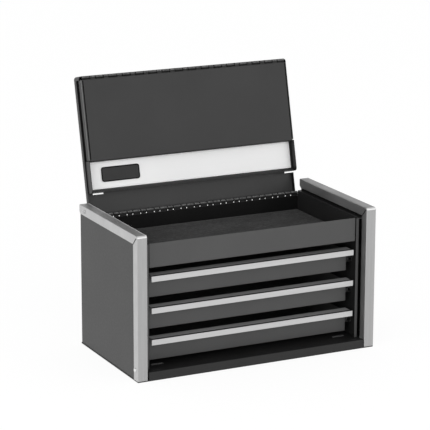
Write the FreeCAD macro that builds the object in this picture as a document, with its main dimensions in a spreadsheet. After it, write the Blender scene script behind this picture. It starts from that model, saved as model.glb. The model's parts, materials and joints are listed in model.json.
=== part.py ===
"""Machinist tool chest: a steel case with a top till and three drawers, a hinged lid, and a
front cover that hangs from the front edge of the lid and is folded back against its inside.

Frame: millimetres, X to the right, Y to the back, Z up. The origin is the centre of the
footprint of the case. The lid stands open, leaning back past the vertical.
"""
import FreeCAD, Part
import os
import re

doc = FreeCAD.newDocument("ToolChest")

SIZES = {
    # case
    "case_width": 440, "case_depth": 235, "case_height": 245, "sheet": 1.0, "bend": 1.6,
    "rim_height": 2, "rim_width": 16, "rim_inset": 0.6,
    "ledge_height": 15.5, "lip_end_gap": 1.8, "back_inset": 1.5, "return_width": 14,
    "edge_gap": 0.2,
    # edge trims
    "trim_width": 18.2, "trim_sheet": 1.2, "trim_depth": 15.5, "trim_corner": 4.5,
    "trim_edge": 1.6, "mitre_gap": 2.2, "mitre_length": 18.5, "trim_end_cut": 4,
    "rivet_head": 3.5, "rivet_height": 1.5, "rivet_soft": 1.1, "rivet_back": 21.3, "rivet_up": 17.4,
    "rivet_side": 8.2, "rivet_front": 10.6,
    # inner walls and till
    "wall_gap": 4.0, "wall_setback": 17, "wall_hem": 4.8, "wall_drop": 20.2,
    "till_setback": 18, "till_depth": 34.1, "till_front_skirt": 5.7, "till_front_rise": 0.7,
    "till_front_gap": 1.7, "till_return": 14,
    "liner_thickness": 1.5, "liner_gap": 1.5,
    # drawers
    "drawer_top_gap": 14.2, "drawer_between": 13.3, "drawer_foot_gap": 8, "drawer_setback": 35,
    "drawer_side_gap": 15.3, "front_overlap": 2, "shelf_overlap": 2,
    "shelf_back": 3, "drawer_back_gap": 6.5, "drawer_side_drop": 4,
    "pull_setback": 16.3, "pull_thickness": 1.2, "pull_height": 9.5, "pull_overlap": 1.8,
    "rail_height": 8, "rail_lift": 14, "rail_reach": 12.3, "rail_setback": 38,
    "slide_gap": 0.2, "runner_height": 18, "runner_inset": 4, "runner_end_gap": 5.6,
    # slots in the ledge
    "tab_slot_gap": 0.8, "drain_slot_length": 20, "drain_slot_width": 2.4,
    "drain_slot_back": 33, "drain_slot_side": 40,
    # lid hinge
    "knuckle_radius": 3, "pin_radius": 1.25, "pin_gap": 0.05, "knuckle_gap": 1.8,
    "long_knuckle": 13, "knuckle_relief": 1.1, "hinge_leaf": 1.0, "case_leaf_height": 20,
    "lid_leaf_depth": 12.5,
    "hinge_drop": 4.5, "knuckle_room": 0.4, "hinge_end_gap": 0.4,
    "leaf_rivet_radius": 1.9, "leaf_rivet_height": 0.7, "leaf_rivet_pitch": 34, "rivet_share": 0.65,
    # lid
    "lid_angle": 13.5, "lid_side_gap": 4.1, "lid_depth": 15.2, "lid_side_flange": 9.2,
    "lid_front_overhang": 0.9, "lid_front_flange": 21.8, "lid_back_reach": 2, "lid_corner": 5,
    # cover hinge
    "cover_knuckle_radius": 2.2, "cover_pin_radius": 0.9, "cover_leaf": 0.8,
    "cover_leaf_height": 12, "cover_axis_front": 9.2, "cover_axis_drop": 3.2,
    "cover_lid_leaf_depth": 11.2,
    # cover
    "cover_side_gap": 0.8, "cover_front": 2.5, "cover_drop": 3.7, "cover_foot_gap": 0.5,
    "cover_flange": 10.4, "band_recess": 15, "band_height": 53.2, "cover_foot_depth": 9.3,
    "cover_bend": 2.4, "gusset_corner": 6, "cover_slit": 1.4, "cover_slit_reach": 3,
    "plate_thickness": 0.8, "plate_side_gap": 2.5, "plate_bottom_gap": 4.4, "plate_top_gap": 1.0,
    "badge_width": 70, "badge_height": 24.4, "badge_thickness": 1.6, "badge_corner": 4,
    "badge_side": 22.1, "badge_lift": 11.9,
    "tab_width": 19, "tab_reach": 1.4, "tab_side_gap": 3.1, "tab_sheet": 0.8, "tab_foot": 7,
}
DRAWER_COUNT = 3
LID_HINGE_PERIODS = 15
LEAF_RIVETS = 11
COVER_HINGE_PERIODS = 15
SIDES = (("left", -1), ("right", 1))

sheet = doc.addObject("Spreadsheet::Sheet", "Sizes")
for row, (alias, value) in enumerate(SIZES.items(), start=1):
    sheet.set(f"A{row}", alias)
    sheet.set(f"B{row}", str(value))
    sheet.setAlias(f"B{row}", alias)
doc.recompute()

WORDS = re.compile(r"\b(" + "|".join(SIZES) + r")\b")


def bound(text):
    """An expression with every size read from the sheet."""
    return WORDS.sub(r"Sizes.\1", str(text))


def size(alias):
    return float(sheet.get(alias))


def bind(item, **expressions):
    """Tie properties to the sheet. Places are the keys x, y and z."""
    for key, text in expressions.items():
        path = f"Placement.Base.{key}" if key in "xyz" else key
        item.setExpression(path, bound(text))
    return item


def neg(text):
    return f"-({text})"


def block(name, x, y, z):
    """A box between two places along each axis, each place an expression."""
    item = doc.addObject("Part::Box", name)
    return bind(item, x=x[0], y=y[0], z=z[0], Length=f"({x[1]}) - ({x[0]})",
                Width=f"({y[1]}) - ({y[0]})", Height=f"({z[1]}) - ({z[0]})")


def side_block(name, sign, x, y, z):
    """A box on one side: x counts outward from the middle plane."""
    low, high = x
    return block(name, (low, high) if sign > 0 else (neg(high), neg(low)), y, z)


def rod(name, radius, x, y, z):
    """A cylinder along X between two places."""
    item = doc.addObject("Part::Cylinder", name)
    item.Placement.Rotation = FreeCAD.Rotation(FreeCAD.Vector(0, 1, 0), 90)
    return bind(item, x=x[0], y=y, z=z, Radius=radius, Height=f"({x[1]}) - ({x[0]})")


def fuse(name, pieces):
    item = doc.addObject("Part::MultiFuse", name)
    item.Shapes = pieces
    item.Refine = True
    return item


def cut(name, base, tools):
    item = doc.addObject("Part::Cut", name)
    item.Base = base
    item.Tool = tools[0] if len(tools) == 1 else fuse(name + "_tools", tools)
    item.Refine = True
    return item


def number(text):
    """The number that an expression of sizes gives."""
    return float(sheet.evalExpression(bound(text)))


def lies(edge, axis, **places):
    """Whether a straight edge runs along an axis at the given places. x counts from the middle."""
    if len(edge.Vertexes) != 2:
        return False
    ends = [vertex.Point for vertex in edge.Vertexes]
    for i, key in enumerate("xyz"):
        if key == axis:
            if abs(ends[1][i] - ends[0][i]) < 0.01:
                return False
            continue
        for end in ends:
            if key in places:
                found = abs(end[i]) if key == "x" else end[i]
                wanted = abs(number(places[key])) if key == "x" else number(places[key])
                if abs(found - wanted) > 1e-4:
                    return False
        if abs(ends[1][i] - ends[0][i]) > 1e-4:
            return False
    return True


def rounded(name, base, radius, wanted, kind="Part::Fillet"):
    """Round (or chamfer) the edges of a piece that a test picks."""
    doc.recompute()
    item = doc.addObject(kind, name)
    item.Base = base
    picked = [i for i, edge in enumerate(base.Shape.Edges, start=1) if wanted(edge)]
    if not picked:
        raise ValueError(f"{name}: no edge to round")
    item.Edges = [(i, number(radius), number(radius)) for i in picked]
    return item


def round_slab(name, half, y, z, radius, axis):
    """A slab with two round corners, along Y at its top end or along Z at its front."""
    place = {"z": z[1]} if axis == "y" else {"y": y[0]}
    slab = block(f"{name}_slab", (neg(half), half), y, z)
    return rounded(name, slab, radius, lambda edge: lies(edge, axis, x=half, **place))


def is_rim(edge):
    """Whether an edge is a full circle."""
    return len(edge.Vertexes) == 1


PARTS = {}


def keep(node, item):
    """Name a finished sub-part."""
    item.Label = node
    PARTS[node] = item
    return item


# places, each an expression of the sizes

HALF = "(case_width/2)"
FRONT = "(-case_depth/2)"
BACK = "(case_depth/2)"
SIDE_OUT = f"({HALF} - trim_sheet)"
SIDE_IN = f"({SIDE_OUT} - sheet)"
TRIM_IN = f"({HALF} - trim_width)"
WALL = f"({TRIM_IN} - wall_gap - sheet)"
HEM_END = f"({WALL} - wall_hem)"
BACK_OUT = f"({BACK} - back_inset)"
BACK_IN = f"({BACK_OUT} - sheet)"
WALL_FRONT = f"({FRONT} + wall_setback)"
TILL_FACE = f"({FRONT} + till_setback)"
TRIM_CLEAR = f"({FRONT} + trim_depth + 4*edge_gap)"
HINGE_Y = f"({BACK_OUT} + knuckle_radius)"
WALL_TOP = "(case_height - wall_drop)"
HINGE_Z = f"({WALL_TOP} - hinge_drop)"
TILL_FLOOR = f"({WALL_TOP} - till_depth)"
TILL_FOOT = f"({TILL_FLOOR} - till_front_skirt)"
DRAWER_TOP = f"({TILL_FOOT} - drawer_top_gap)"
DRAWER_SPACE = f"({DRAWER_TOP} - ledge_height - drawer_foot_gap)"
DRAWER_HEIGHT = f"(({DRAWER_SPACE} - {DRAWER_COUNT - 1}*drawer_between)/{DRAWER_COUNT})"

# places in the lid's own frame: Z up along the lid from its hinge axis, Y out of its back

LID_HALF = f"({TRIM_IN} - lid_side_gap)"
LID_LENGTH = f"({HINGE_Y} - {FRONT} + lid_front_overhang)"
LID_IN = "(lid_depth - sheet)"
FLANGE_END = "(lid_depth - lid_front_flange)"
COVER_Y = "(-cover_axis_front)"
COVER_Z = f"({LID_LENGTH} - cover_axis_drop)"
COVER_HALF = f"({LID_HALF} - sheet - cover_side_gap)"
COVER_FACE = f"({COVER_Y} - cover_front)"
COVER_TOP = f"({COVER_Z} - cover_drop)"
COVER_FOOT = f"({COVER_Z} - ({HINGE_Z} + {COVER_Y} - ledge_height - cover_foot_gap))"
STEP = f"({COVER_FOOT} + band_height)"
FLOOR_FACE = f"({COVER_FACE} + band_recess)"
FLOOR_BACK = f"({FLOOR_FACE} + sheet)"
FOOT_EDGE = f"({FLOOR_BACK} - cover_foot_depth)"
TAB_FACE = f"({FOOT_EDGE} - tab_sheet)"


def base_rim():
    """The flat frame that the case stands on."""
    out_x = f"({HALF} - rim_inset)"
    low_y, high_y = f"({FRONT} + rim_inset)", f"({BACK} - rim_inset)"
    plate = block("rim_plate", (neg(out_x), out_x), (low_y, high_y), ("0", "rim_height"))
    hole = block("rim_hole", (f"-({out_x} - rim_width)", f"{out_x} - rim_width"),
                 (f"{low_y} + rim_width", f"{high_y} - rim_width"), ("-1", "rim_height + 1"))
    keep("base_rim", cut("rim_frame", plate, [hole]))


def base_pan():
    """The floor of the drawer space: a ledge turned down all round, its front lip inside the trims."""
    top, under = "ledge_height", "ledge_height - sheet"
    lip_x = f"({TRIM_IN} - lip_end_gap)"
    pieces = [
        block("ledge", (neg(SIDE_IN), SIDE_IN), (TRIM_CLEAR, BACK_IN), (under, top)),
        block("ledge_front", (neg(lip_x), lip_x), (FRONT, TRIM_CLEAR), (under, top)),
        block("lip", (neg(lip_x), lip_x), (FRONT, f"{FRONT} + sheet"), ("rim_height", top)),
        block("ledge_back", (neg(SIDE_IN), SIDE_IN), (f"{BACK_IN} - sheet", BACK_IN),
              ("rim_height", top)),
    ]
    slots = []
    tab_out = f"({COVER_HALF} - tab_side_gap)"
    tab_y = f"({HINGE_Y} - {COVER_Z} - {COVER_Y} + {TAB_FACE})"
    drain_out = f"({HALF} - drain_slot_side - drain_slot_length)"
    drain_y = f"({FRONT} + drain_slot_back)"
    for name, sign in SIDES:
        pieces.append(side_block(f"ledge_side_{name}", sign, (f"{SIDE_IN} - sheet", SIDE_IN),
                                 (TRIM_CLEAR, BACK_IN), ("rim_height", top)))
        pieces.append(side_block(f"lip_return_{name}", sign, (f"{lip_x} - sheet", lip_x),
                                 (FRONT, TRIM_CLEAR), ("rim_height", top)))
        slots.append(side_block(f"tab_slot_{name}", sign,
                                (f"{tab_out} - tab_width - tab_slot_gap", f"{tab_out} + tab_slot_gap"),
                                (f"{tab_y} - tab_slot_gap", f"{tab_y} + tab_sheet + tab_slot_gap"),
                                ("ledge_height - 2*sheet", "ledge_height + sheet")))
        slots.append(side_block(f"drain_slot_{name}", sign,
                                (drain_out, f"{drain_out} + drain_slot_length"),
                                (drain_y, f"{drain_y} + drain_slot_width"),
                                ("ledge_height - 2*sheet", "ledge_height + sheet")))
    pan = rounded("base_bend", fuse("base_sheet", pieces), "bend",
                  lambda edge: lies(edge, "x", y=FRONT, z="ledge_height"))
    keep("base_pan", cut("base_slotted", pan, slots))


def side_panel(name, sign):
    """A flat outer side with a return turned in behind the back panel."""
    top = "(case_height - trim_sheet - edge_gap)"
    front = f"({FRONT} + trim_sheet + edge_gap)"
    flat = side_block(f"side_flat_{name}", sign, (SIDE_IN, SIDE_OUT),
                      (front, f"{BACK_OUT} + sheet"), ("rim_height", top))
    turned = side_block(f"side_return_{name}", sign, (f"{SIDE_OUT} - return_width", SIDE_OUT),
                        (BACK_OUT, f"{BACK_OUT} + sheet"), ("rim_height", top))
    corner = rounded(f"side_corner_{name}", fuse(f"side_sheet_{name}", [flat, turned]),
                     "trim_corner", lambda edge: lies(edge, "x", y=front, z=top))
    keep(f"side_panel_{name}",
         rounded(f"side_bend_{name}", corner, "bend",
                 lambda edge: lies(edge, "z", x=SIDE_OUT, y=f"{BACK_OUT} + sheet")))


def back_panel():
    """The back of the case, cut lower between the lid's sides where the hinge runs."""
    low = f"({HINGE_Z} - knuckle_radius - knuckle_relief)"
    notch_x = f"({LID_HALF} + 2*edge_gap)"
    flat = block("back_flat", (neg(SIDE_IN), SIDE_IN), (BACK_IN, BACK_OUT), ("rim_height", WALL_TOP))
    notch = block("back_notch", (neg(notch_x), notch_x),
                  (f"{BACK_IN} - sheet", f"{BACK_OUT} + sheet"), (low, f"{WALL_TOP} + sheet"))
    keep("back_panel", cut("back_notched", flat, [notch]))


def inner_wall(name, sign):
    """The wall beside the drawers: hemmed inward at its front, turned out under the trim."""
    flat = side_block(f"wall_flat_{name}", sign, (WALL, f"{WALL} + sheet"),
                      (WALL_FRONT, BACK_IN), ("ledge_height", WALL_TOP))
    hem = side_block(f"wall_hem_{name}", sign, (HEM_END, f"{WALL} + sheet"),
                     (WALL_FRONT, f"{WALL_FRONT} + sheet"), ("ledge_height", WALL_TOP))
    turned = side_block(f"wall_turned_{name}", sign, (WALL, SIDE_IN),
                        (WALL_FRONT, BACK_IN), (f"{WALL_TOP} - sheet", WALL_TOP))
    keep(f"inner_wall_{name}",
         rounded(f"wall_bend_{name}", fuse(f"wall_sheet_{name}", [flat, hem, turned]), "bend",
                 lambda edge: lies(edge, "z", x=f"{WALL} + sheet", y=WALL_FRONT)))


def till():
    """The open tray at the top: a floor, a front panel and a loose mat."""
    front_x = f"({HEM_END} - till_front_gap)"
    front_top = f"({WALL_TOP} + till_front_rise)"
    face = block("till_face", (neg(front_x), front_x), (TILL_FACE, f"{TILL_FACE} + sheet"),
                 (TILL_FOOT, front_top))
    turned = block("till_turned", (neg(front_x), front_x), (TILL_FACE, f"{TILL_FACE} + till_return"),
                   (TILL_FOOT, f"{TILL_FOOT} + sheet"))
    keep("till_front",
         rounded("till_bend", fuse("till_front_sheet", [face, turned]), "bend",
                 lambda edge: lies(edge, "x", y=TILL_FACE, z=TILL_FOOT)))
    inside = f"({TILL_FACE} + sheet)"
    keep("till_floor", block("till_floor_plate", (neg(WALL), WALL), (inside, BACK_IN),
                             (f"{TILL_FLOOR} - sheet", TILL_FLOOR)))
    mat_x = f"({WALL} - liner_gap)"
    keep("till_liner", block("till_mat", (neg(mat_x), mat_x),
                             (f"{inside} + liner_gap", f"{BACK_IN} - liner_gap"),
                             (TILL_FLOOR, f"{TILL_FLOOR} + liner_thickness")))


def trim(name, sign):
    """A channel over the top and front edges of a side, mitred at its corner."""
    inset = "trim_sheet"

    def angle(prefix, x, edge, low):
        """Two runs that meet at the top front corner, set in from the outside by edge."""
        top, front = f"(case_height - {edge})", f"({FRONT} + {edge})"
        runs = [side_block(f"{prefix}_top_{name}", sign, x, (front, f"{BACK} + ({low})"),
                           ("case_height - trim_depth", top)),
                side_block(f"{prefix}_front_{name}", sign, x, (front, f"{FRONT} + trim_depth"),
                           (f"rim_height - ({low})", "case_height - trim_depth + sheet"))]
        return top, front, fuse(f"{prefix}_{name}", runs)

    top, front, outer = angle("trim_outer", (TRIM_IN, HALF), "0", "0")
    outer = rounded(f"trim_outer_corner_{name}", outer, "trim_corner",
                    lambda edge: lies(edge, "x", y=front, z=top))
    inner_top, inner_front, hollow = angle(
        "trim_hollow", (f"{TRIM_IN} + {inset}", f"{HALF} - {inset}"), inset, "sheet")
    reach = [side_block(f"trim_reach_{part}_{name}", sign,
                        (f"{TRIM_IN} + {inset}", f"{HALF} - {inset}"), y, z)
             for part, y, z in (
                 ("top", (f"{FRONT} + trim_depth - sheet", f"{BACK} + sheet"),
                  ("case_height - trim_depth - sheet", "case_height - trim_depth + sheet")),
                 ("front", (f"{FRONT} + trim_depth - sheet", f"{FRONT} + trim_depth + sheet"),
                  ("rim_height - sheet", "case_height - trim_depth + sheet")))]
    hollow = rounded(f"trim_hollow_corner_{name}", hollow, "trim_corner - trim_sheet",
                     lambda edge: lies(edge, "x", y=inner_front, z=inner_top))
    mitre = doc.addObject("Part::Box", f"trim_mitre_{name}")
    mitre.Placement.Rotation = FreeCAD.Rotation(FreeCAD.Vector(1, 0, 0), 45)
    bind(mitre, Length="trim_width + 2*sheet", Width="mitre_gap", Height="mitre_length",
         x=f"{TRIM_IN} - sheet" if sign > 0 else f"-({HALF} + sheet)",
         y=f"{FRONT} + trim_depth + sheet - mitre_gap/sqrt(8)",
         z="case_height - trim_depth - sheet - mitre_gap/sqrt(8)")
    channel = cut(f"trim_channel_{name}", outer, [hollow, *reach, mitre])
    ended = rounded(f"trim_ended_{name}", channel, "trim_end_cut",
                    lambda edge: lies(edge, "x", y=BACK, z="case_height - trim_depth"),
                    kind="Part::Chamfer")
    centre = FreeCAD.Vector(0, number(f"{FRONT} + trim_corner"), number("case_height - trim_corner"))

    def outside(edge):
        """The long edges of the channel's web, round its corner too."""
        middle = edge.valueAt((edge.FirstParameter + edge.LastParameter) / 2)
        ends = [vertex.Point.x for vertex in edge.Vertexes]
        if len(ends) != 2 or abs(ends[0] - ends[1]) > 1e-4 or edge.Length < size("trim_edge"):
            return False
        if min(abs(abs(ends[0]) - number(place)) for place in (HALF, TRIM_IN)) > 1e-4:
            return False
        away = FreeCAD.Vector(0, middle.y - centre.y, middle.z - centre.z).Length
        on_arc = abs(away - size("trim_corner")) < 1e-3
        on_top = abs(middle.z - size("case_height")) < 1e-3
        return on_arc or on_top or abs(middle.y - number(FRONT)) < 1e-3

    keep(f"trim_{name}", rounded(f"trim_soft_{name}", ended, "trim_edge", outside))


def trim_rivets(name, sign):
    """Two rivets through the outer flange of a trim, near its two ends."""
    heads = []
    spots = {"back": (f"{BACK} - rivet_back", "case_height - rivet_side"),
             "foot": (f"{FRONT} + rivet_front", "rim_height + rivet_up")}
    for part, (y, z) in spots.items():
        x = (HALF, f"{HALF} + rivet_height")
        x = x if sign > 0 else (neg(x[1]), neg(x[0]))
        heads.append(rod(f"rivet_{part}_{name}", "rivet_head", x, y, z))
    tip = number(f"{HALF} + rivet_height")
    keep(f"trim_rivets_{name}",
         rounded(f"rivets_soft_{name}", fuse(f"rivets_{name}", heads), "rivet_soft",
                 lambda edge: abs(abs(edge.CenterOfMass.x) - tip) < 1e-4))


def case_rail(name, sign, index):
    """A channel on the inner wall that one side of a drawer slides in."""
    low = f"({drawer_foot(index)} + rail_lift)"
    high = f"({low} + rail_height)"
    y = (f"{FRONT} + rail_setback", BACK_IN)
    inner = f"({WALL} - rail_reach)"
    body = side_block(f"rail_body_{index}_{name}", sign, (inner, WALL), y, (low, high))
    slot = side_block(f"rail_slot_{index}_{name}", sign, (f"{inner} - sheet", f"{WALL} - sheet"),
                      (f"{y[0]} - sheet", f"{y[1]} + sheet"), (f"{low} + sheet", f"{high} - sheet"))
    keep(f"rail_{index}_{name}", cut(f"rail_channel_{index}_{name}", body, [slot]))


def drawer_head(index):
    """The height of a drawer's shelf, counted from the top drawer down."""
    return f"({DRAWER_TOP} - {index - 1}*({DRAWER_HEIGHT} + drawer_between))"


def drawer_foot(index):
    return f"({drawer_head(index)} - {DRAWER_HEIGHT})"


def drawer(index):
    """An open box whose top edge reaches forward as a shelf that carries a full-width pull."""
    head, foot = drawer_head(index), drawer_foot(index)
    box_x = f"({WALL} - drawer_side_gap)"
    front_x = f"({box_x} + front_overlap)"
    shelf_x = f"({front_x} + shelf_overlap)"
    pull_x = f"({shelf_x} + pull_overlap)"
    face = f"({FRONT} + drawer_setback)"
    inside = f"({face} + sheet)"
    back = f"({BACK_IN} - drawer_back_gap)"
    lip = f"({FRONT} + pull_setback + pull_thickness)"
    rim = f"({head} - drawer_side_drop)"
    pieces = [
        block(f"drawer_shelf_{index}", (neg(shelf_x), shelf_x), (lip, f"{face} + shelf_back"),
              (f"{head} - sheet", head)),
        block(f"drawer_lip_{index}", (neg(shelf_x), shelf_x), (lip, f"{lip} + sheet"),
              (f"{head} - pull_height", head)),
        block(f"drawer_face_{index}", (neg(front_x), front_x), (face, inside), (foot, head)),
        block(f"drawer_floor_{index}", (neg(box_x), box_x), (face, back), (foot, f"{foot} + sheet")),
        block(f"drawer_back_{index}", (neg(box_x), box_x), (f"{back} - sheet", back), (foot, rim)),
    ]
    for name, sign in SIDES:
        pieces.append(side_block(f"drawer_side_{index}_{name}", sign, (f"{box_x} - sheet", box_x),
                                 (face, back), (foot, rim)))
    keep(f"drawer_{index}_box",
         rounded(f"drawer_bend_{index}", fuse(f"drawer_sheet_{index}", pieces), "bend/2",
                 lambda edge: lies(edge, "x", y=face, z=foot)))
    strip = block(f"pull_strip_{index}", (neg(pull_x), pull_x), (f"{FRONT} + pull_setback", lip),
                  (f"{head} - pull_height", head))
    keep(f"drawer_{index}_pull",
         rounded(f"pull_soft_{index}", strip, "pull_thickness/3",
                 lambda edge: lies(edge, "x", y=f"{FRONT} + pull_setback")))
    for name, sign in SIDES:
        runner(name, sign, index, box_x, inside, back)


def runner(name, sign, index, box_x, inside, back):
    """A bar on the drawer's side that slides inside the case's channel."""
    rail = f"({drawer_foot(index)} + rail_lift)"
    middle = f"({rail} + rail_height/2)"
    y = (f"{inside} + runner_inset", f"{back} - runner_inset")
    web = side_block(f"runner_web_{index}_{name}", sign, (box_x, f"{box_x} + sheet"), y,
                     (f"{middle} - runner_height/2", f"{middle} + runner_height/2"))
    bar = side_block(f"runner_bar_{index}_{name}", sign, (box_x, f"{WALL} - runner_end_gap"), y,
                     (f"{rail} + sheet + slide_gap", f"{rail} + rail_height - sheet - slide_gap"))
    keep(f"drawer_{index}_runner_{name}", fuse(f"runner_{index}_{name}", [web, bar]))


def knuckle_cuts(prefix, owner, periods, half, y, z, room, relief):
    """Pieces that clear a hinge leaf where the other leaf's knuckles turn.

    Long and short knuckles alternate, with a long one at both ends. A relief sinks the gaps beside
    the short ones that far into the leaf's strip, and the strip stays up behind the knuckle.
    """
    pitch = f"((2*{half} - long_knuckle)/{periods})"
    across = (f"{y} - {room}", f"{y} + {room}")
    high = f"{z} + {room}"
    pieces = []
    for i in range(periods + (owner == "short")):
        start = f"(-{half} + {i}*{pitch})"
        after, following = f"({start} + long_knuckle)", f"({start} + {pitch})"
        if owner == "short":
            pieces.append(block(f"{prefix}_cut_{i}", (f"{start} - knuckle_gap", f"{after} + knuckle_gap"),
                                across, (f"{z} - {room}", high)))
        elif relief == "0":
            pieces.append(block(f"{prefix}_cut_{i}", (after, following), across, (f"{z} - {room}", high)))
        else:
            pieces.append(rod(f"{prefix}_cut_{i}", room, (after, following), y, z))
            for end, gap in (("left", (after, f"{after} + knuckle_gap")),
                             ("right", (f"{following} - knuckle_gap", following))):
                pieces.append(block(f"{prefix}_relief_{end}_{i}", gap, across, (f"{z} - {relief}", high)))
    return pieces


def hinge_leaf(prefix, owner, periods, half, axis, radius, pin, leaf_y, leaf_z, relief="0"):
    """A strip with rolled knuckles along one hinge axis."""
    y, z = axis
    strip = block(f"{prefix}_strip", (neg(half), half), leaf_y, leaf_z)
    barrel = rod(f"{prefix}_barrel", radius, (neg(half), half), y, z)
    bore = rod(f"{prefix}_bore", f"{pin} + pin_gap", (f"-{half} - sheet", f"{half} + sheet"), y, z)
    cuts = knuckle_cuts(prefix, owner, periods, half, y, z, f"({radius} + knuckle_room)", relief)
    return cut(f"{prefix}_leaf", fuse(f"{prefix}_rolled", [strip, barrel]), [bore, *cuts])


def rivet_row(prefix, y, z, count):
    """Low heads along a leaf, on the side that faces the back."""
    heads = []
    for i in range(count):
        head = doc.addObject("Part::Cylinder", f"{prefix}_head_{i}")
        head.Placement.Rotation = FreeCAD.Rotation(FreeCAD.Vector(1, 0, 0), -90)
        bind(head, x=f"({i} - {(count - 1) / 2})*leaf_rivet_pitch", y=y, z=z,
             Radius="leaf_rivet_radius", Height="leaf_rivet_height")
        heads.append(head)
    return fuse(f"{prefix}_heads", heads)


def lid_hinge():
    """The long hinge between the back panel and the lid: the case's leaf and the pin."""
    half = f"({LID_HALF} - hinge_end_gap)"
    back = f"({BACK_OUT} + hinge_leaf)"
    keep("lid_hinge_case_leaf",
         hinge_leaf("case_hinge", "long", LID_HINGE_PERIODS, half, (HINGE_Y, HINGE_Z),
                    "knuckle_radius", "pin_radius", (BACK_OUT, back),
                    (f"{HINGE_Z} - case_leaf_height", HINGE_Z), "(knuckle_radius + knuckle_relief)"))
    pin = rod("lid_pin_rod", "pin_radius", (neg(half), half), HINGE_Y, HINGE_Z)
    keep("lid_hinge_pin", rounded("lid_pin", pin, "pin_radius/4", is_rim))
    keep("case_leaf_rivets",
         rivet_row("case_leaf", back, f"{HINGE_Z} - rivet_share*case_leaf_height", LEAF_RIVETS))


def lean(item):
    """Stand a piece that is built in the lid's frame on the open lid."""
    item.Placement = FreeCAD.Placement(FreeCAD.Vector(), FreeCAD.Rotation(FreeCAD.Vector(1, 0, 0), 0))
    item.setExpression("Placement.Rotation.Angle", bound("-lid_angle"))
    return bind(item, y=HINGE_Y, z=HINGE_Z)


def lid_shell():
    """A flat pan with round front corners: shallow at its sides, deep at its front edge."""
    low = "(-lid_back_reach)"
    outer = round_slab("lid_outer", LID_HALF, (FLANGE_END, "lid_depth"), (low, LID_LENGTH),
                       "lid_corner", "y")
    hollow = round_slab("lid_hollow", f"({LID_HALF} - sheet)", (f"{FLANGE_END} - sheet", LID_IN),
                        (f"{low} + sheet", f"({LID_LENGTH} - sheet)"), "lid_corner - sheet", "y")
    before = block("lid_before", (f"-{LID_HALF} - sheet", f"{LID_HALF} + sheet"),
                   (f"{FLANGE_END} - sheet", "lid_depth - lid_side_flange"),
                   (f"{low} - sheet", COVER_TOP))

    def turns(edge):
        """The edges where the pan's sheet turns."""
        return (lies(edge, "x", y="lid_depth", z=low) or lies(edge, "x", y="lid_depth", z=LID_LENGTH)
                or lies(edge, "z", x=LID_HALF, y="lid_depth"))

    keep("lid_shell", lean(rounded("lid_bent", cut("lid_sheet", outer, [hollow, before]), "bend", turns)))


def lid_leaf():
    """The lid's leaf of the long hinge, on the outside of the lid's back edge."""
    half = f"({LID_HALF} - hinge_end_gap)"
    under = "(-lid_back_reach)"
    leaf = hinge_leaf("lid_hinge", "short", LID_HINGE_PERIODS, half, ("0", "0"),
                      "knuckle_radius", "pin_radius", ("0", "lid_leaf_depth"),
                      (f"{under} - hinge_leaf", under))
    keep("lid_hinge_lid_leaf", lean(leaf))


def cover_hinge():
    """The small hinge between the lid's front edge and the cover: two leaves and a pin."""
    half = f"({LID_HALF} - lid_corner - edge_gap)"
    axis = (COVER_Y, COVER_Z)
    under = f"({LID_LENGTH} - sheet)"
    upper = hinge_leaf("cover_upper", "long", COVER_HINGE_PERIODS, half, axis,
                       "cover_knuckle_radius", "cover_pin_radius",
                       (COVER_Y, f"{COVER_Y} + cover_lid_leaf_depth"),
                       (f"{under} - cover_leaf", under))
    keep("cover_hinge_lid_leaf", lean(upper))
    pin = rod("cover_pin_rod", "cover_pin_radius", (neg(half), half), *axis)
    keep("cover_hinge_pin", lean(rounded("cover_pin", pin, "cover_pin_radius/4", is_rim)))
    behind = f"({COVER_FACE} + sheet)"
    lower = hinge_leaf("cover_lower", "short", COVER_HINGE_PERIODS, half, axis,
                       "cover_knuckle_radius", "cover_pin_radius",
                       (behind, f"{behind} + cover_leaf"),
                       (f"{COVER_TOP} - cover_leaf_height", COVER_Z))
    keep("cover_hinge_cover_leaf", lean(lower))


def cover_shell():
    """The front cover: a flat panel with side flanges, and below it a recess for the band."""
    x = (neg(COVER_HALF), COVER_HALF)
    flange_end = f"{COVER_FACE} + cover_flange"
    outer = round_slab("cover_outer", COVER_HALF, (COVER_FACE, flange_end), (STEP, COVER_TOP),
                       "cover_bend", "z")
    outer = rounded("cover_lower_bend", outer, "bend",
                    lambda edge: lies(edge, "x", y=COVER_FACE, z=STEP))
    hollow = round_slab("cover_hollow", f"({COVER_HALF} - sheet)",
                        (f"({COVER_FACE} + sheet)", f"{flange_end} + sheet"),
                        (f"{STEP} + sheet", f"{COVER_TOP} + sheet"), "cover_bend - sheet", "z")
    pieces = [
        cut("cover_panel", outer, [hollow]),
        block("cover_step", x, (f"{COVER_FACE} + cover_bend", FLOOR_BACK), (STEP, f"{STEP} + sheet")),
        block("cover_floor", x, (FLOOR_FACE, FLOOR_BACK), (COVER_FOOT, f"{STEP} + sheet")),
        block("cover_foot", x, (FOOT_EDGE, FLOOR_BACK), (COVER_FOOT, f"{COVER_FOOT} + sheet")),
    ]
    slits = []
    for name, sign in SIDES:
        gusset = side_block(f"cover_gusset_{name}", sign, (f"{COVER_HALF} - sheet", COVER_HALF),
                            (COVER_FACE, FLOOR_BACK), (COVER_FOOT, f"{STEP} + sheet"))
        pieces.append(rounded(f"gusset_soft_{name}", gusset, "gusset_corner",
                              lambda edge: lies(edge, "x", y=COVER_FACE, z=COVER_FOOT)))
        slits.append(side_block(f"cover_slit_{name}", sign,
                                (f"{COVER_HALF} - cover_slit_reach", f"{COVER_HALF} + sheet"),
                                (f"{COVER_FACE} - sheet", f"{flange_end} + sheet"),
                                (f"{STEP} + sheet", f"{STEP} + sheet + cover_slit")))
    keep("cover_shell", lean(cut("cover_slitted", fuse("cover_sheet", pieces), slits)))


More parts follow.
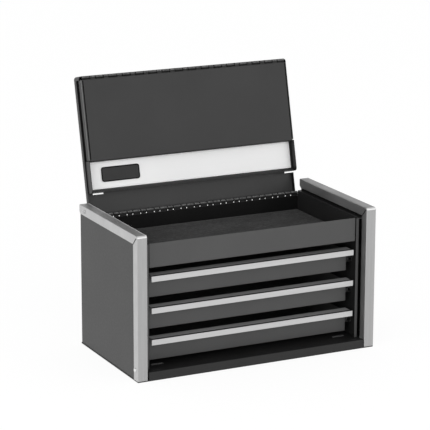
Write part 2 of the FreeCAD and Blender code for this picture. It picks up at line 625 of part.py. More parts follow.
def band():
    """The bright band plate in the cover's recess, with a bare badge plate on it."""
    face = f"({FLOOR_FACE} - plate_thickness)"
    half = f"({COVER_HALF} - sheet - plate_side_gap)"
    low = f"({COVER_FOOT} + sheet + plate_bottom_gap)"
    strip = block("band_sheet", (neg(half), half), (face, FLOOR_FACE), (low, f"{STEP} - plate_top_gap"))
    keep("band_plate", lean(rounded("band_soft", strip, "bend", lambda edge: lies(edge, "y"))))
    left = f"(-{half} + badge_side)"
    foot = f"({low} + badge_lift)"
    plate = block("badge_block", (left, f"{left} + badge_width"),
                  (f"{face} - badge_thickness", face), (foot, f"{foot} + badge_height"))
    keep("badge_plate",
         lean(rounded("badge_soft", plate, "badge_corner", lambda edge: lies(edge, "y"))))


def cover_tab(name, sign):
    """A tab over the edge of the cover's foot near one corner, which enters a slot of the ledge."""
    outer = f"({COVER_HALF} - tab_side_gap)"
    x = (f"{outer} - tab_width", outer)
    seat = f"({COVER_FOOT} + sheet)"
    blade = side_block(f"tab_blade_{name}", sign, x, (TAB_FACE, FOOT_EDGE),
                       (f"{COVER_FOOT} - cover_foot_gap - sheet - tab_reach", f"{seat} + tab_sheet"))
    foot = side_block(f"tab_foot_{name}", sign, x, (TAB_FACE, f"{FOOT_EDGE} + tab_foot"),
                      (seat, f"{seat} + tab_sheet"))
    keep(f"cover_tab_{name}", lean(fuse(f"tab_{name}", [blade, foot])))


base_rim()
base_pan()
back_panel()
till()
for side_name, side_sign in SIDES:
    side_panel(side_name, side_sign)
    inner_wall(side_name, side_sign)
    trim(side_name, side_sign)
    trim_rivets(side_name, side_sign)
    cover_tab(side_name, side_sign)
    for drawer_index in range(1, DRAWER_COUNT + 1):
        case_rail(side_name, side_sign, drawer_index)
for drawer_index in range(1, DRAWER_COUNT + 1):
    drawer(drawer_index)
lid_hinge()
lid_shell()
lid_leaf()
cover_hinge()
cover_shell()
band()

doc.recompute()
for item in doc.Objects:
    if {"Invalid", "Error"} & set(item.State):
        raise RuntimeError(f"{item.Name} failed: {item.State}")
os.makedirs("parts", exist_ok=True)
for node, item in PARTS.items():
    shape = item.Shape
    if shape.isNull() or not shape.isValid() or shape.Volume <= 0:
        raise RuntimeError(f"{node} has no valid shape")
    shape.exportStep(f"parts/{node}.step")
print(len(PARTS), "sub-parts written")
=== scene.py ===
"""Machinist tool chest: materials, small dressed pieces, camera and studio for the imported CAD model.

Lengths are metres, written as millimetres times MM. Colours are grey levels in linear light. The lid,
the cover and what they carry are described in the lid's own frame: Z up along the lid from its hinge,
Y out of its back.
"""
import json
import math

import bmesh
import bpy
from mathutils import Matrix, Vector


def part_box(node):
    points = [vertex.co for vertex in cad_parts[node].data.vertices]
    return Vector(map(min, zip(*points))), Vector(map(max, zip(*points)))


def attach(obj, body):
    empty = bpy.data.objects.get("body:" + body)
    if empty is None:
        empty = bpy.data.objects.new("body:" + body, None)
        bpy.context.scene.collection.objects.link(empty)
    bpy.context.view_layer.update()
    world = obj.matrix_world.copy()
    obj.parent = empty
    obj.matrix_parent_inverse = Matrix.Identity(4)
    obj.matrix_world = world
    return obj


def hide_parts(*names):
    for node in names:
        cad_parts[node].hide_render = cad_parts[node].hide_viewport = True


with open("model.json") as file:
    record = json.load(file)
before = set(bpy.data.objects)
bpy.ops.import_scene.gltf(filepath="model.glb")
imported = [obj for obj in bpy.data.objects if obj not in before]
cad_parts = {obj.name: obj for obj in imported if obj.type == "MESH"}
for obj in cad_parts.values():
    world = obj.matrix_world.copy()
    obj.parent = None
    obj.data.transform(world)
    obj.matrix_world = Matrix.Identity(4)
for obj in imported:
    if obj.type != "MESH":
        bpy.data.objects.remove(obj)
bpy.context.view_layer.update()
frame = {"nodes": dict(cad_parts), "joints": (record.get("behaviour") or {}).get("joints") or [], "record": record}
NODES = frame["nodes"]
MM = 0.001

# the lid's own frame: the place of its hinge axis, and how far it leans back from upright
AXES = {joint["name"]: Vector(joint["pos_m"]) for joint in frame["joints"] if joint["type"] == "hinge"}
LID_AXIS = AXES["lid_hinge"]
LID_ANGLE = math.radians(13.5)
LID_PLACE = Matrix.Translation(LID_AXIS) @ Matrix.Rotation(-LID_ANGLE, 4, "X")
LID_UP = LID_PLACE.to_3x3() @ Vector((0, 0, 1))


def box_in(place, node):
    """(lowest corner, highest corner) of a CAD node in the frame that a matrix gives."""
    back = place.inverted()
    corners = [back @ vertex.co for vertex in NODES[node].data.vertices]
    return (Vector([min(c[i] for c in corners) for i in range(3)]),
            Vector([max(c[i] for c in corners) for i in range(3)]))


# ---------------------------------------------------------------- materials

class Shade:
    """A material under construction: its node tree and its Principled shader.

    Most methods add nodes and give back the output socket that holds the result.
    """

    def __init__(self, name):
        self.material = bpy.data.materials.new(name)
        self.material.use_nodes = True
        self.tree = self.material.node_tree
        self.shader = self.tree.nodes["Principled BSDF"]
        coordinates = self.add("ShaderNodeTexCoord")
        self.place = coordinates.outputs["Object"]
        self.facing = coordinates.outputs["Normal"]

    def add(self, kind, **settings):
        """A new node with its settings."""
        node = self.tree.nodes.new(kind)
        for key, value in settings.items():
            setattr(node, key, value)
        return node

    def link(self, source, target):
        self.tree.links.new(source, target)

    def put(self, node, **values):
        """Set or link inputs of a node by name. Underscores stand for spaces."""
        for key, value in values.items():
            target = node.inputs[key.replace("_", " ")]
            if isinstance(value, bpy.types.NodeSocket):
                self.link(value, target)
            else:
                target.default_value = value
        return node

    def stretched(self, scale):
        """The place, scaled by its own amount along each axis."""
        mapping = self.add("ShaderNodeMapping")
        self.put(mapping, Vector=self.place, Scale=scale)
        return mapping.outputs["Vector"]

    def noise(self, scale, detail=3.0, rough=0.5, stretch=None, distortion=0.0):
        """Noise from 0 to 1. stretch scales the place by its own amount along each axis."""
        node = self.add("ShaderNodeTexNoise")
        source = self.stretched(stretch) if stretch else self.place
        self.put(node, Vector=source, Scale=scale, Detail=detail, Roughness=rough,
                 Distortion=distortion)
        return node.outputs["Fac"]

    def ramp(self, value, low, high, out_low=0.0, out_high=1.0):
        """A value spread from low..high to out_low..out_high, and held at both ends."""
        node = self.add("ShaderNodeMapRange")
        self.put(node, Value=value, From_Min=low, From_Max=high, To_Min=out_low, To_Max=out_high)
        return node.outputs["Result"]

    def math(self, operation, a, b=0.5):
        """One arithmetic step on two values. An operation on one value leaves b unused."""
        node = self.add("ShaderNodeMath", operation=operation)
        for target, value in zip(node.inputs, (a, b)):
            if isinstance(value, bpy.types.NodeSocket):
                self.link(value, target)
            else:
                target.default_value = value
        return node.outputs["Value"]

    def blend(self, factor, a, b):
        """A colour between a and b."""
        node = self.add("ShaderNodeMix", data_type="RGBA")
        for target, value in zip((node.inputs[0], node.inputs[6], node.inputs[7]), (factor, a, b)):
            if isinstance(value, bpy.types.NodeSocket):
                self.link(value, target)
            elif isinstance(value, (int, float)):
                target.default_value = value
            else:
                target.default_value = (*value[:3], 1.0)
        return node.outputs[2]

    def edges(self, radius):
        """(a normal that rounds the sharp edges, how near such an edge is from 0 to 1)."""
        bevel = self.add("ShaderNodeBevel", samples=6)
        self.put(bevel, Radius=radius)
        flat = self.add("ShaderNodeNewGeometry").outputs["True Normal"]
        dot = self.add("ShaderNodeVectorMath", operation="DOT_PRODUCT")
        self.link(bevel.outputs["Normal"], dot.inputs[0])
        self.link(flat, dot.inputs[1])
        return bevel.outputs["Normal"], self.ramp(dot.outputs["Value"], 0.97, 0.75)

    def toward(self, direction, low=0.6, high=0.8):
        """1 on the faces that look along a direction of the object, 0 on the others."""
        dot = self.add("ShaderNodeVectorMath", operation="DOT_PRODUCT")
        self.link(self.facing, dot.inputs[0])
        dot.inputs[1].default_value = direction
        return self.ramp(dot.outputs["Value"], low, high)

    def by_facing(self, base, tone, faces):
        """A colour, changed on the faces that look along each direction of (direction, colour, light)."""
        for direction, colour, light in faces:
            base = self.blend(self.toward(direction), base, self.blend(tone, colour, light))
        return base

    def along(self, direction):
        """How far along a direction of the object a place lies."""
        dot = self.add("ShaderNodeVectorMath", operation="DOT_PRODUCT")
        self.link(self.place, dot.inputs[0])
        dot.inputs[1].default_value = direction
        return dot.outputs["Value"]

    def inward(self):
        """1 on the side faces that look towards the object's middle plane, 0 on the others."""
        across = [self.add("ShaderNodeSeparateXYZ") for _ in range(2)]
        self.link(self.place, across[0].inputs["Vector"])
        self.link(self.facing, across[1].inputs["Vector"])
        side = self.math("SIGN", across[0].outputs["X"])
        return self.ramp(self.math("MULTIPLY", side, across[1].outputs["X"]), -0.6, -0.8)

    def bump(self, height, strength, distance, normal=None):
        """A normal that is tilted by a height, on top of another normal if one is given."""
        node = self.add("ShaderNodeBump")
        self.put(node, Height=height, Strength=strength, Distance=distance)
        if normal is not None:
            self.link(normal, node.inputs["Normal"])
        return node.outputs["Normal"]

    def finish(self, **values):
        """Set the shader's inputs, and give back the finished material."""
        self.put(self.shader, **values)
        return self.material


def grey(level):
    """A neutral colour. The photographed object shows no other."""
    return (level, level, level)


def powder_coat(name, colour, light, roughness, faces=(), inward=None, shelf_light_and_shade=(), bend=None, gloss=0.42,
                edge_highlight=0.3):
    """Baked enamel on sheet steel: a fine orange-peel texture, faint clouding, edges a little paler as a painted
    highlight.

    faces holds (direction, colour, light) for the faces that look along a direction of the object, their
    painted light and shade, inward is (colour, light) for the side faces that look towards its middle plane,
    shelf_light_and_shade holds (y, colour, light) for the top faces in front of each place, a painted light
    and shade, and bend is (direction, colour) for a bend's painted highlight. edge_highlight is how pale the
    edges are painted, a painted highlight.
    """
    shade = Shade(name)
    normal, edge = shade.edges(0.7 * MM)
    cloud = shade.noise(9, detail=4)
    fine = shade.noise(900, detail=2, rough=0.6)
    speck = shade.noise(2600, detail=1)
    tone = shade.ramp(cloud, 0.35, 0.65)
    # faces: painted light and shade by the way each face looks
    base = shade.by_facing(shade.blend(tone, colour, light), tone, faces)
    if inward:
        base = shade.blend(shade.inward(), base, shade.blend(tone, *inward))
    # top faces in front of each place: painted light and shade
    for place, shelf_colour, shelf_light in shelf_light_and_shade:
        before = shade.math("LESS_THAN", shade.along((0, 1, 0)), place)
        on_shelf = shade.math("MULTIPLY", before, shade.toward(UP))
        base = shade.blend(on_shelf, base, shade.blend(tone, shelf_colour, shelf_light))
    # a painted highlight on a bend
    if bend:
        base = shade.blend(shade.toward(bend[0], 0.90, 0.98), base, bend[1])
    base = shade.blend(shade.math("MULTIPLY", shade.ramp(speck, 0.62, 0.72), 0.2), base, light)
    # paler edges: a painted highlight
    base = shade.blend(shade.math("MULTIPLY", edge, edge_highlight), base, [min(1.0, 1.7 * c) for c in light])
    peel = shade.bump(fine, 0.10, 0.12 * MM, normal)
    grit = shade.bump(speck, 0.05, 0.05 * MM, peel)
    rough = shade.ramp(shade.noise(260, detail=5), 0.3, 0.7, roughness - 0.03, roughness + 0.04)
    return shade.finish(Base_Color=base, Roughness=rough, Normal=grit, Specular_IOR_Level=gloss)


def brushed(name, colour, dark, roughness, along, streak=0.5, metallic=1.0, edge_light=0.5, faces=(),
            highlight_line=None, bend=None, paint=None):
    """Bare or lacquered metal with fine lines along one or two axes and a few faint smudges.

    faces holds (direction, colour, dark) for the faces that look along a direction, their painted light and
    shade, highlight_line is (x, width, colour) for a painted highlight along the top faces, bend is
    (direction, colour) for a bend's painted highlight, and paint is (direction, place, colour) for what lies
    beyond a place along a direction. edge_light is how much paler the edges are painted, a painted highlight.
    """
    shade = Shade(name)
    normal, edge = shade.edges(0.5 * MM)
    stretch = [0.012 if axis in along else 1.0 for axis in "XYZ"]
    lines = shade.noise(1500, detail=3, rough=0.7, stretch=stretch)
    wide = shade.noise(260, detail=2, stretch=stretch)
    smudge = shade.noise(24, detail=5, rough=0.6, distortion=0.6)
    mark = shade.math("MULTIPLY", shade.ramp(lines, 0.3, 0.7), streak)
    mark = shade.math("ADD", mark, shade.math("MULTIPLY", shade.ramp(wide, 0.35, 0.65), 0.5 * streak))
    # faces: painted light and shade by the way each face looks
    base = shade.by_facing(shade.blend(mark, colour, dark), mark, faces)
    # paler edges: a painted highlight
    base = shade.blend(shade.math("MULTIPLY", edge, edge_light), base, [min(1.0, 1.25 * c) for c in colour])
    # a painted highlight along the top faces near a given x
    if highlight_line:
        x, width, bright = highlight_line
        away = shade.math("ABSOLUTE", shade.math("SUBTRACT", shade.along((1, 0, 0)), x))
        on_highlight_line = shade.math("MULTIPLY", shade.ramp(away, width, 0.6 * width), shade.toward(UP))
        base = shade.blend(on_highlight_line, base, bright)
        metallic = shade.ramp(on_highlight_line, 0, 1, metallic, 0)
    # a painted highlight on a bend
    if bend:
        base = shade.blend(shade.toward(bend[0], 0.80, 0.95), base, bend[1])
    if paint:
        direction, place, coat = paint
        beyond = shade.math("GREATER_THAN", shade.along(direction), place)
        base = shade.blend(beyond, base, coat)
        metallic = shade.ramp(beyond, 0, 1, metallic, 0)
    rough = shade.math("ADD", shade.ramp(smudge, 0.3, 0.7, roughness - 0.06, roughness + 0.08),
                       shade.math("MULTIPLY", lines, 0.06))
    ridge = shade.bump(lines, 0.12, 0.04 * MM, normal)
    return shade.finish(Base_Color=base, Metallic=metallic, Roughness=rough, Normal=ridge)


def felt(name, colour, light):
    """Short needled felt: tangled fibres, soft clumps and a trace of sheen."""
    shade = Shade(name)
    fibres = shade.noise(1400, detail=6, rough=0.75, distortion=2.5)
    clumps = shade.noise(150, detail=5, rough=0.65, distortion=0.8)
    patches = shade.noise(40, detail=5, stretch=(0.5, 1.0, 1.0), distortion=0.5)
    mark = shade.math("ADD", shade.math("MULTIPLY", shade.ramp(fibres, 0.35, 0.7), 0.5),
                      shade.math("MULTIPLY", shade.ramp(clumps, 0.4, 0.68), 0.5))
    base = shade.blend(mark, colour, light)
    base = shade.blend(shade.math("MULTIPLY", shade.ramp(patches, 0.40, 0.60), 0.5), base, colour)
    height = shade.math("ADD", fibres, clumps)
    fuzz = shade.bump(height, 0.6, 0.6 * MM)
    return shade.finish(Base_Color=base, Roughness=0.95, Normal=fuzz, Sheen_Weight=0.1,
                        Sheen_Roughness=0.5, Specular_IOR_Level=0.1)


def moulded(name, colour, light, roughness, gloss=0.5):
    """Smooth enamelled or moulded badge face with a faint texture, its edges paler as a painted highlight."""
    shade = Shade(name)
    normal, edge = shade.edges(0.4 * MM)
    fine = shade.noise(700, detail=3)
    base = shade.blend(shade.ramp(shade.noise(40, detail=4), 0.3, 0.7), colour, light)
    # paler edges: a painted highlight
    base = shade.blend(shade.math("MULTIPLY", edge, 0.4), base, [min(1.0, 2.0 * c) for c in light])
    rough = shade.ramp(fine, 0.3, 0.7, roughness - 0.04, roughness + 0.05)
    return shade.finish(Base_Color=base, Roughness=rough, Specular_IOR_Level=gloss,
                        Normal=shade.bump(fine, 0.06, 0.05 * MM, normal))


FRONT, LEFT, RIGHT, UP = (0, -1, 0), (-1, 0, 0), (1, 0, 0), (0, 0, 1)
# side faces painted darker than the fronts: painted shade
SIDE_SHADE = (grey(0.027), grey(0.032))
# trim fronts painted darker, a painted shade, and a painted highlight on their front bends
TRIM_FRONT_SHADE = (FRONT, grey(0.41), grey(0.33))
TRIM_BEND_HIGHLIGHT = ((0, -0.71, 0.71), grey(0.95))
SHELF_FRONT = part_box("drawer_1_box")[0].y
# drawer shelves: their tops are painted lighter, a painted light, and the 5 mm at their front by the pull painted
# near black, a painted shade
SHELF_TOP_LIGHT = (SHELF_FRONT + 21 * MM, grey(0.27), grey(0.30))
SHELF_CREASE_SHADE = (SHELF_FRONT + 5 * MM, grey(0.010), grey(0.015))
GREY = powder_coat("grey_powder_coat", grey(0.055), grey(0.060), 0.44,
                   faces=((LEFT, *SIDE_SHADE), (RIGHT, *SIDE_SHADE)))
DRAWER_GREY = powder_coat("drawer_powder_coat", grey(0.055), grey(0.060), 0.44,
                          shelf_light_and_shade=(SHELF_TOP_LIGHT, SHELF_CREASE_SHADE))
# lid and cover: their side faces painted darker, a painted shade, and a painted highlight on the left front bend
LID_LOOK = {"roughness": 0.42, "gloss": 0.3, "edge_highlight": 0, "faces": ((LEFT, *SIDE_SHADE), (RIGHT, *SIDE_SHADE)),
            "inward": (grey(0.004), grey(0.006)), "bend": ((-0.78, -0.62, 0), grey(0.16))}
LID_GREY = powder_coat("lid_powder_coat", grey(0.035), grey(0.040), **LID_LOOK)
COVER_GREY = powder_coat("cover_powder_coat", grey(0.027), grey(0.031), **LID_LOOK)
WALL_GREY = powder_coat("wall_powder_coat", grey(0.012), grey(0.016), 0.5,
                        faces=((FRONT, grey(0.045), grey(0.052)),))
BACK_GREY = powder_coat("back_powder_coat", grey(0.056), grey(0.064), 0.5, gloss=0.2,
                        faces=((FRONT, grey(0.003), grey(0.005)),))
# the base pan: every face but the front ones is painted near black, a painted shade on the ledge top
LEDGE = powder_coat("ledge_powder_coat", grey(0.008), grey(0.012), 0.5, gloss=0.25,
                    faces=((FRONT, grey(0.019), grey(0.023)),))
BLACK = powder_coat("black_powder_coat", grey(0.008), grey(0.012), 0.5)
# The trims: fronts, tops and the right trim's inner face are painted darker, a painted shade, the front bends get
# a painted highlight, and a painted highlight runs along the left trim's inner top edge. The right trim is a more
# shaded copy of the left one.
LEFT_TRIM = brushed("left_trim_metal", grey(0.57), grey(0.46), 0.40, "YZ", streak=0.45, metallic=0.85,
                    faces=(TRIM_FRONT_SHADE, (UP, grey(0.46), grey(0.36))), bend=TRIM_BEND_HIGHLIGHT,
                    highlight_line=(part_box("trim_left")[1].x, 3 * MM, grey(0.75)))
RIGHT_TRIM = brushed("right_trim_metal", grey(0.53), grey(0.44), 0.40, "YZ", streak=0.45, metallic=0.85,
                     faces=(TRIM_FRONT_SHADE, (UP, grey(0.34), grey(0.25)), (LEFT, grey(0.44), grey(0.37))),
                     bend=TRIM_BEND_HIGHLIGHT)
PULL = brushed("pull_metal", grey(0.56), grey(0.46), 0.40, "X", streak=0.4, metallic=0.8)
BAND = brushed("band_silver", grey(0.88), grey(0.84), 0.5, "X", streak=0.25, metallic=0.1)
BORDER = brushed("band_border", grey(1.0), grey(0.97), 0.4, "X", streak=0.15, metallic=0.0)
BADGE = moulded("badge_face", grey(0.034), grey(0.040), 0.5, gloss=0.15)
BADGE_RIM = moulded("badge_rim", grey(0.003), grey(0.004), 0.6, gloss=0.05)
# the hinges: near black, with a ragged painted highlight along the tops of the knuckles
HINGE = brushed("hinge_metal", grey(0.012), grey(0.005), 0.45, "", streak=0.8, metallic=0.2, edge_light=0,
                faces=(((0, -0.3, 0.95), grey(0.30), grey(0.02)),))
RAIL = brushed("rail_metal", grey(0.10), grey(0.06), 0.42, "Y", metallic=0.85)
BARE_RIVETS_TOP = 150 * MM
RIVET = brushed("rivet_metal", grey(0.80), grey(0.66), 0.30, "Z", metallic=0.9,
                paint=(UP, BARE_RIVETS_TOP, grey(0.42)))
# near-black strips that paint the shade of the grooves beside the cover's bends
SEAM_SHADOW = moulded("seam_shadow", grey(0.003), grey(0.005), 0.7, gloss=0.0)
FELT = felt("till_felt", grey(0.006), grey(0.070))
COVER_FOOT = box_in(LID_PLACE, "cover_shell")[0].z + LID_AXIS.dot(LID_UP)
TAB = brushed("tab_metal", grey(0.85), grey(0.75), 0.35, "X", streak=0.3, metallic=0.6,
              paint=(LID_UP, COVER_FOOT - 0.5 * MM, grey(0.02)))

LOOKS = {
    "grey_enamel": GREY, "black_enamel": BLACK, "silver_enamel": LEFT_TRIM, "pull_aluminium": PULL,
    "silver_band": BAND, "badge_enamel": BADGE, "hinge_steel": HINGE, "bright_steel": TAB,
    "rail_steel": RAIL, "rivet_steel": RIVET, "felt": FELT,
}
OWN_LOOKS = {
    "inner_wall_left": WALL_GREY, "inner_wall_right": WALL_GREY, "till_floor": WALL_GREY,
    "back_panel": BACK_GREY, "base_pan": LEDGE, "lid_shell": LID_GREY, "cover_shell": COVER_GREY,
    "trim_right": RIGHT_TRIM,
    "drawer_1_box": DRAWER_GREY, "drawer_2_box": DRAWER_GREY, "drawer_3_box": DRAWER_GREY,
}


def dress(node, material):
    """Give a CAD node its material in all its slots."""
    for entry in NODES[node].material_slots:
        entry.material = material


for part in frame["record"]["subparts"]:
    dress(part["node"], OWN_LOOKS.get(part["node"], LOOKS[part["material_slot"]]))


# ---------------------------------------------------------------- small dressed pieces

UPRIGHT = Matrix.Identity(4)
SIDES = (("left", -1), ("right", 1))


def piece(name, shape, material, body, place=UPRIGHT, smooth=True):
    """Make a mesh object of a bmesh that is built in the frame of a matrix, and let it ride."""
    bmesh.ops.recalc_face_normals(shape, faces=shape.faces)
    shape.transform(place)
    mesh = bpy.data.meshes.new(name)
    shape.to_mesh(mesh)
    shape.free()
    for face in mesh.polygons:
        face.use_smooth = smooth
    made = bpy.data.objects.new(name, mesh)
    bpy.context.scene.collection.objects.link(made)
    mesh.materials.append(material)
    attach(made, body)
    return made


def round_outline(low, high, corner, steps=6):
    """[(x, z, outward x, outward z)] round a rectangle with round corners, counter-clockwise."""
    centres = ((high[0] - corner, high[1] - corner, 0), (low[0] + corner, high[1] - corner, 1),
               (low[0] + corner, low[1] + corner, 2), (high[0] - corner, low[1] + corner, 3))
    points = []
    for x, z, quarter in centres:
        for i in range(steps + 1):
            angle = (quarter + i / steps) * math.pi / 2
            out = (math.cos(angle), math.sin(angle))
            points.append((x + corner * out[0], z + corner * out[1], *out))
    return points


def ring(shape, outline, profile, lay):
    """Sweep a closed profile of (outward, proud) points round an outline. lay(x, z, proud) places them."""
    rows = [[shape.verts.new(lay(x + out * ox, z + out * oz, proud)) for out, proud in profile]
            for x, z, ox, oz in outline]
    for i, row in enumerate(rows):
        following = rows[(i + 1) % len(rows)]
        for j in range(len(profile)):
            k = (j + 1) % len(profile)
            shape.faces.new((row[j], row[k], following[k], following[j]))


def half_round(width, height, steps=6):
    """A closed (outward, proud) profile: flat below and round above, centred on 0."""
    return [(-width / 2 * math.cos(math.pi * i / steps), height * math.sin(math.pi * i / steps))
            for i in range(steps + 1)]


def dome(shape, centre, across, upward, radius, height, spokes=18, rings=5):
    """A low round head: a cap of rings about a centre, standing along upward."""
    across, upward = Vector(across), Vector(upward)
    other = upward.cross(across)
    rows = []
    for i in range(rings):
        rise = i / rings * math.pi / 2
        far, up = radius * math.cos(rise) ** 0.6, height * math.sin(rise)
        rows.append([shape.verts.new(Vector(centre) + upward * up + far * (
            across * math.cos(2 * math.pi * j / spokes) + other * math.sin(2 * math.pi * j / spokes)))
            for j in range(spokes)])
    top = shape.verts.new(Vector(centre) + upward * height)
    for low_row, high_row in zip(rows, rows[1:]):
        for j in range(spokes):
            k = (j + 1) % spokes
            shape.faces.new((low_row[j], low_row[k], high_row[k], high_row[j]))
    for j in range(spokes):
        shape.faces.new((rows[-1][j], rows[-1][(j + 1) % spokes], top))
    shape.faces.new(reversed(rows[0]))


def rolled_border(name, node, material, width, height, corner, overlap=0.0, steps=6):
    """A half-round edge all round the face of a plate. It reaches past the plate by overlap."""
    low, high = box_in(LID_PLACE, node)
    inset = width / 2 - overlap
    outline = round_outline((low.x + inset, low.z + inset), (high.x - inset, high.z - inset), corner - inset,
                            steps)
    shape = bmesh.new()
    ring(shape, outline, half_round(width, height), lambda x, z, proud: (x, low.y - proud, z))
    piece(name, shape, material, "cover", LID_PLACE)


def seam_shadow_strips():
    """Dark strips inside the bends at the two sides of the cover's panel: the painted shade of narrow grooves
    there.
    """
    low, high = box_in(LID_PLACE, "cover_shell")
    band_top = box_in(LID_PLACE, "band_plate")[1].z
    bend, width, corner = 2.5 * MM, 1.7 * MM, 0.6 * MM
    foot, head = band_top + 4.2 * MM, high.z - 0.8 * MM
    sunk, proud, soft = 0.1 * MM, 0.12 * MM, 0.25 * MM
    section = ((0, sunk), (0, -0.5 * proud), (soft, -proud))
    for name, sign in SIDES:
        edges = sorted(sign * (high.x - bend - step) for step in (0, width))
        outline = round_outline((edges[0], foot), (edges[1], head), corner)
        shape = bmesh.new()
        rows = [[shape.verts.new((x - inset * ox, low.y + depth, z - inset * oz)) for x, z, ox, oz in outline]
                for inset, depth in section]
        for row, following in zip(rows, rows[1:]):
            for i in range(len(row)):
                k = (i + 1) % len(row)
                shape.faces.new((row[i], row[k], following[k], following[i]))
        shape.faces.new(rows[0])
        shape.faces.new(rows[-1])
        piece(f"cover_seam_shadow_{name}", shape, SEAM_SHADOW, "cover", LID_PLACE, smooth=False)


def rivet_row(name, body, y, z, upward):
    """Low round heads in a row along X, standing along upward in the lid's frame."""
    count, pitch, radius, height = 11, 34.0 * MM, 1.9 * MM, 0.7 * MM
    shape = bmesh.new()
    for i in range(count):
        x = (i - (count - 1) / 2) * pitch
        dome(shape, (x, y, z), (1, 0, 0), upward, radius, height)
    piece(name, shape, RIVET, body, LID_PLACE)


def leaf_rivets():
    """The heads that hold the lid's leaf of the long hinge and the cover's leaf of the short one."""
    leaf_low, leaf_high = box_in(LID_PLACE, "lid_hinge_lid_leaf")
    from_edge = 4.6 * MM
    rivet_row("lid_leaf_rivets", "lid", leaf_high.y - from_edge, leaf_low.z, (0, 0, -1))
    low, high = box_in(LID_PLACE, "cover_shell")
    sheet_and_leaf, from_top = 1.8 * MM, 7.5 * MM
    rivet_row("cover_leaf_rivets", "cover", low.y + sheet_and_leaf, high.z - from_top, (0, 1, 0))


def drain_collars():
    """A raised collar round each drain slot of the ledge."""
    low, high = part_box("base_pan")
    rim_inset = 0.6 * MM
    case_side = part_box("base_rim")[1].x + rim_inset
    length, width, back, side = 20 * MM, 2.4 * MM, 33 * MM, 40 * MM
    corner, collar_width, collar_height, collar_out = 0.5 * MM, 1.3 * MM, 0.7 * MM, 0.75 * MM
    profile = [(out + collar_out, up) for out, up in half_round(collar_width, collar_height)]
    for name, sign in SIDES:
        near = case_side - side
        ends = sorted((sign * near, sign * (near - length)))
        outline = round_outline((ends[0], low.y + back), (ends[1], low.y + back + width), corner)
        shape = bmesh.new()
        ring(shape, outline, profile, lambda x, y, proud: (x, y, high.z + proud))
        piece(f"drain_collar_{name}", shape, GREY, "case")


def till_mat():
    """The loose felt mat in the till: a soft sheet with worn, rounded edges and a few shallow waves."""
    low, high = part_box("till_liner")
    columns, rows = 96, 54
    edge, bulge, fray = 1.2 * MM, 0.9 * MM, 0.25 * MM
    under_lift, top_drop, swell = 0.05 * MM, 0.15 * MM, 0.12 * MM
    shape = bmesh.new()

    def wave(x, y):
        return (math.sin(21 * x + 1.3) * math.sin(17 * y + 0.4) + 0.5 * math.sin(47 * x - 31 * y)) / 1.5

    def corner(i, j, top):
        x = low.x + edge + (high.x - low.x - 2 * edge) * i / columns
        y = low.y + edge + (high.y - low.y - 2 * edge) * j / rows
        z = high.z - top_drop + swell * wave(x, y) if top else low.z + under_lift
        return shape.verts.new((x, y, z))

    layers = [[[corner(i, j, top) for i in range(columns + 1)] for j in range(rows + 1)]
              for top in (False, True)]
    for layer in layers:
        for j in range(rows):
            for i in range(columns):
                shape.faces.new((layer[j][i], layer[j][i + 1], layer[j + 1][i + 1], layer[j + 1][i]))
    rim = ([(i, 0) for i in range(columns)] + [(columns, j) for j in range(rows)]
           + [(i, rows) for i in range(columns, 0, -1)] + [(0, j) for j in range(rows, 0, -1)])
    middle = []
    centre = (low + high) / 2
    for n, (i, j) in enumerate(rim):
        under, over = layers[0][j][i].co, layers[1][j][i].co
        out = Vector((0 if 0 < i < columns else math.copysign(1, under.x - centre.x),
                      0 if 0 < j < rows else math.copysign(1, under.y - centre.y), 0)).normalized()
        worn = fray * math.sin(2.3 * n) * math.sin(0.37 * n)
        middle.append(shape.verts.new((under + over) / 2 + out * (bulge + worn)))
    for n, (i, j) in enumerate(rim):
        following = (n + 1) % len(rim)
        k, m = rim[following]
        for layer in layers:
            shape.faces.new((layer[j][i], layer[m][k], middle[following], middle[n]))
    mat = piece("till_mat", shape, FELT, "case")
    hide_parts("till_liner")


rolled_border("band_border", "band_plate", BORDER, width=1.8 * MM, height=0.2 * MM,
              corner=1.7 * MM)
rolled_border("badge_rim", "badge_plate", BADGE_RIM, width=1.9 * MM, height=0.45 * MM,
              corner=4.0 * MM, overlap=0.5 * MM, steps=10)
seam_shadow_strips()
leaf_rivets()
drain_collars()
till_mat()


# ---------------------------------------------------------------- camera

FRAME_PIXELS = 430
SENSOR = 36.0
FOCAL_PIXELS = 2153.5
YAW, PITCH, ROLL = math.radians(26.421), math.radians(14.514), math.radians(0.160)
CAMERA_PLACE = Vector((-1.57816, -3.12918, 1.13611))


def make_camera():
    """The camera at the photograph's place: it looks right of +Y, and down."""
    forward = Vector((math.sin(YAW) * math.cos(PITCH), math.cos(YAW) * math.cos(PITCH), -math.sin(PITCH)))
    right = Vector((math.cos(YAW), -math.sin(YAW), 0))
    up = right.cross(forward)
    rolled_right = right * math.cos(ROLL) + up * math.sin(ROLL)
    rolled_up = up * math.cos(ROLL) - right * math.sin(ROLL)
    data = bpy.data.cameras.new("camera")
    data.sensor_width = SENSOR
    data.lens = FOCAL_PIXELS / FRAME_PIXELS * SENSOR
    data.clip_end = 50
    camera = bpy.data.objects.new("camera", data)
    turn = Matrix((rolled_right, rolled_up, -forward)).transposed().to_4x4()
    camera.matrix_world = Matrix.Translation(CAMERA_PLACE) @ turn
    bpy.context.scene.collection.objects.link(camera)
    bpy.context.scene.camera = camera


make_camera()


# ---------------------------------------------------------------- studio

# how bright the sky is: (height, height, brightness at the first, brightness at the second), from 0 at the
# horizon to 1 overhead
DOME = (0.05, 0.8, 1.3, 0.5)
BACKDROP = (0.25, 0.9, 1.0, 0.4)
FLOOR_SIDE, FLOOR_DROP, FLOOR_GREY = 12.0, 0.2 * MM, 0.86
FLOOR_GLOW, FLOOR_GLOW_SHARE = 1.06, 0.86


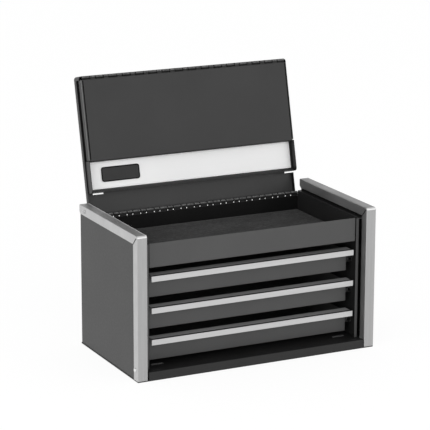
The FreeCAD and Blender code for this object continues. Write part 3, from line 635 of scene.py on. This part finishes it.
def area(name, place, aim, size, power):
    """A rectangular lamp that the camera doesn't see. size is (width, height), and power is in watts."""
    light = bpy.data.lights.new(name, "AREA")
    light.shape = "RECTANGLE"
    light.size, light.size_y = size
    light.energy = power
    lamp = bpy.data.objects.new(name, light)
    lamp.location = place
    lamp.rotation_mode = "QUATERNION"
    lamp.rotation_quaternion = (Vector(aim) - Vector(place)).to_track_quat("-Z", "Y")
    lamp.visible_camera = False
    bpy.context.scene.collection.objects.link(lamp)


def seen_directly(tree):
    """1 for the rays that show a backdrop: camera, glossy and transmission rays."""
    path = tree.nodes.new("ShaderNodeLightPath")
    total = path.outputs["Is Camera Ray"]
    for key in ("Is Glossy Ray", "Is Transmission Ray"):
        either = tree.nodes.new("ShaderNodeMath")
        either.operation = "MAXIMUM"
        tree.links.new(total, either.inputs[0])
        tree.links.new(path.outputs[key], either.inputs[1])
        total = either.outputs["Value"]
    return total


def make_world():
    """White behind the object, and a soft dome for its light. Both are dimmer overhead."""
    world = bpy.data.worlds.new("studio")
    bpy.context.scene.world = world
    world.use_nodes = True
    tree = world.node_tree
    tree.nodes.clear()
    add = tree.nodes.new
    place, split = add("ShaderNodeTexCoord"), add("ShaderNodeSeparateXYZ")
    tree.links.new(place.outputs["Generated"], split.inputs["Vector"])
    shown, mix, out = seen_directly(tree), add("ShaderNodeMixShader"), add("ShaderNodeOutputWorld")
    tree.links.new(shown, mix.inputs[0])
    for target, (low, high, strength_low, strength_high) in zip(mix.inputs[1:], (DOME, BACKDROP)):
        strength = add("ShaderNodeMapRange")
        tree.links.new(split.outputs["Z"], strength.inputs["Value"])
        for key, value in (("From Min", low), ("From Max", high), ("To Min", strength_low),
                           ("To Max", strength_high)):
            strength.inputs[key].default_value = value
        background = add("ShaderNodeBackground")
        background.inputs["Color"].default_value = (1, 1, 1, 1)
        tree.links.new(strength.outputs["Result"], background.inputs["Strength"])
        tree.links.new(background.outputs[0], target)
    tree.links.new(mix.outputs[0], out.inputs["Surface"])


def make_floor():
    """A plain pale floor that shows nearly as white and keeps a trace of the shadow."""
    mesh = bpy.data.meshes.new("floor")
    corners = [(x * FLOOR_SIDE, y * FLOOR_SIDE, 0) for x, y in ((-1, -1), (1, -1), (1, 1), (-1, 1))]
    mesh.from_pydata(corners, [], [(0, 1, 2, 3)])
    floor = bpy.data.objects.new("floor", mesh)
    floor.location.z = -FLOOR_DROP
    bpy.context.scene.collection.objects.link(floor)
    material = bpy.data.materials.new("floor_paper")
    material.use_nodes = True
    tree = material.node_tree
    shader = tree.nodes["Principled BSDF"]
    shader.inputs["Base Color"].default_value = (*grey(FLOOR_GREY), 1)
    shader.inputs["Roughness"].default_value = 0.9
    glow, mix = (tree.nodes.new(kind) for kind in ("ShaderNodeEmission", "ShaderNodeMixShader"))
    share = tree.nodes.new("ShaderNodeMath")
    share.operation = "MULTIPLY"
    share.inputs[1].default_value = FLOOR_GLOW_SHARE
    glow.inputs["Strength"].default_value = FLOOR_GLOW
    tree.links.new(seen_directly(tree), share.inputs[0])
    tree.links.new(share.outputs[0], mix.inputs[0])
    tree.links.new(shader.outputs[0], mix.inputs[1])
    tree.links.new(glow.outputs[0], mix.inputs[2])
    tree.links.new(mix.outputs[0], tree.nodes["Material Output"].inputs["Surface"])
    floor.data.materials.append(material)


make_world()
make_floor()
area("key_left", (-2.2, -1.4, 0.9), (0, 0, 0.2), (1.6, 1.4), 12)
area("front_soft", (-0.7, -3.1, 1.0), (0, 0, 0.2), (1.8, 1.4), 18)
area("fill_right", (1.6, -2.4, 0.8), (0, 0, 0.15), (1.4, 1.2), 6)

bpy.context.scene.view_settings.view_transform = "Standard"
bpy.context.view_layer.update()
